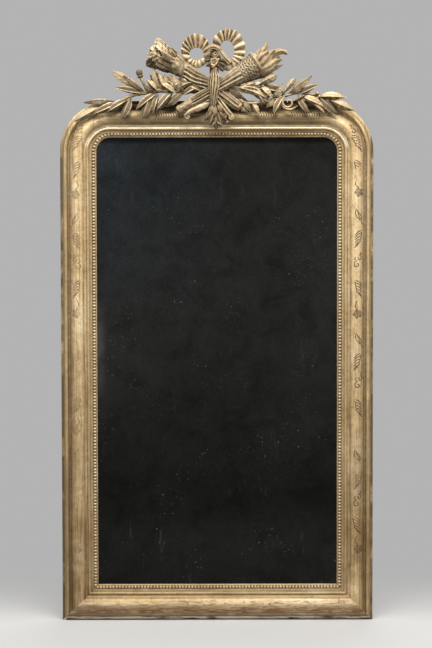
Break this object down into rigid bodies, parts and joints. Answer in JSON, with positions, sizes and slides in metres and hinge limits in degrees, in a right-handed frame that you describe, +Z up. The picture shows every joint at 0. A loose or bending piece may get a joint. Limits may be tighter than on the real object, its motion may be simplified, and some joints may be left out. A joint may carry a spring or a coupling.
{
  "type": "gilt mirror",
  "caption": "Tall gilt mirror: moulded frame with rounded upper corners, a bead row at the glass and a carved crest of quiver, torch, ribbon bow and laurel; hangs by rings or stands.",
  "frame": {"origin": "middle of the bottom rail's underside, on which the mirror stands", "axes": "+X to the viewer's right, +Y back towards the wall, +Z up"},
  "size_m": [0.9, 0.1113, 1.702],
  "materials": {
    "gilt_moulding": "aged water gilding over gesso and red bole",
    "gilt_beads": "aged gilding, rubbed on the pearls",
    "gilt_carving": "aged gilding over carved and moulded ornament",
    "mirror_glass": "old tin mirror glass, slightly foxed",
    "tin_foil": "dull tin foil",
    "carcase_wood": "raw pine, darkened with age",
    "board_wood": "raw sawn pine, darkened with age",
    "iron": "dark wrought iron"
  },
  "bodies": {
    "mirror": {"acanthus_drop": "gilt_carving", "arrows": "gilt_carving", "backboard_1": "board_wood", "backboard_2": "board_wood", "backboard_3": "board_wood", "backboard_4": "board_wood", "backboard_5": "board_wood", "backboard_nails": "iron", "beads_bottom": "gilt_beads", "beads_corner_left": "gilt_beads", "beads_corner_right": "gilt_beads", "beads_left": "gilt_beads", "beads_right": "gilt_beads", "beads_top": "gilt_beads", "berry_cluster": "gilt_carving", "bow_knot": "gilt_carving", "bow_loop_left": "gilt_carving", "bow_loop_right": "gilt_carving", "bow_tail": "gilt_carving", "center_wrap": "gilt_carving", "corner_block_left": "carcase_wood", "corner_block_right": "carcase_wood", "crest_block": "carcase_wood", "crest_screws": "iron", "crest_strap": "iron", "glass_blocks": "carcase_wood", "hanger_plate_left": "iron", "hanger_plate_right": "iron", "hanger_screws": "iron", "laurel_branch_left": "gilt_carving", "laurel_branch_right": "gilt_carving", "laurel_sprig_left": "gilt_carving", "laurel_sprig_right": "gilt_carving", "mirror_glass": "mirror_glass", "moulding_bottom": "gilt_moulding", "moulding_corner_left": "gilt_moulding", "moulding_corner_right": "gilt_moulding", "moulding_left": "gilt_moulding", "moulding_right": "gilt_moulding", "moulding_top": "gilt_moulding", "quiver": "gilt_carving", "rail_bottom": "carcase_wood", "rail_top": "carcase_wood", "scroll_leaf": "gilt_carving", "stile_left": "carcase_wood", "stile_right": "carcase_wood", "tassel": "gilt_carving", "tin_backing": "tin_foil", "torch_cup": "gilt_carving", "torch_flame": "gilt_carving", "torch_shaft": "gilt_carving"},
    "ring_left": {"hanger_ring_left": "iron"},
    "ring_right": {"hanger_ring_right": "iron"}
  },
  "joints": [
    {"name": "ring_left_swing", "type": "hinge", "parent": "mirror", "child": "ring_left", "pos_m": [-0.4065, 0.01855, 1.15], "axis": [1, 0, 0], "range_deg": [0, 180]},
    {"name": "ring_right_swing", "type": "hinge", "parent": "mirror", "child": "ring_right", "pos_m": [0.4065, 0.01855, 1.15], "axis": [1, 0, 0], "range_deg": [0, 180]}
  ]
}
